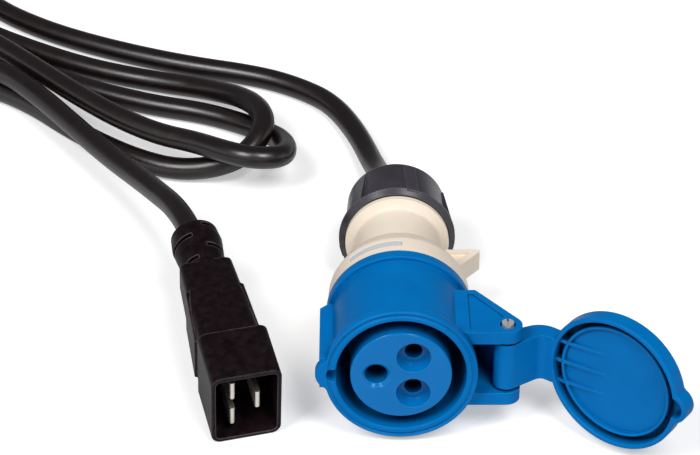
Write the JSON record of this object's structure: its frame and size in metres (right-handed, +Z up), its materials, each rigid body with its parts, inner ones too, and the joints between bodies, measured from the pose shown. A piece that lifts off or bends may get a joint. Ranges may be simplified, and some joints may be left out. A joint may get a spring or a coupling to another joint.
{
  "type": "power adapter lead",
  "caption": "Power adapter lead: hinged-lid industrial trailing coupler, loose hank of round black cable and a moulded flat-blade appliance plug.",
  "frame": {"origin": "middle of the base of the coupler and plug together, on the surface they lie on", "axes": "+Z up; the coupler's mouth faces -Y, and its lid hinges on its +X side"},
  "size_m": [0.3976, 0.405, 0.0568],
  "materials": {
    "blue_shell": "moulded satin",
    "cream_shell": "moulded satin",
    "charcoal_nut": "moulded satin",
    "dark_insert": "moulded satin",
    "rubber_seal": "soft",
    "brass": "turned",
    "plated_steel": "zinc plated",
    "black_plug": "fine texture",
    "grey_bridge": "moulded",
    "plated_brass": "nickel plated",
    "black_sheath": "semi-matt sheath",
    "brown_core": "insulation",
    "blue_core": "insulation",
    "green_core": "insulation"
  },
  "bodies": {
    "lead": {"front_housing": "blue_shell", "hinge_pin": "plated_steel", "hinge_spring": "plated_steel", "contact_insert": "dark_insert", "insert_ring": "dark_insert", "line_contact": "brass", "neutral_contact": "brass", "earth_contact": "brass", "terminal_screws": "plated_steel", "rear_housing": "cream_shell", "gland_nut": "charcoal_nut", "gland_seal": "rubber_seal", "clamping_cage": "cream_shell", "plug_body": "black_plug", "plug_bridge": "grey_bridge", "line_blade": "plated_brass", "neutral_blade": "plated_brass", "earth_blade": "plated_brass", "cable": "black_sheath", "line_core": "brown_core", "neutral_core": "blue_core", "earth_core": "green_core"},
    "lid": {"lid": "blue_shell"}
  },
  "joints": [
    {"name": "lid_hinge", "type": "hinge", "parent": "lead", "child": "lid", "pos_m": [0.00232, -0.03745, 0.02902], "axis": [0, -0.0767, -0.9971], "range_deg": [0, 143.6]}
  ]
}
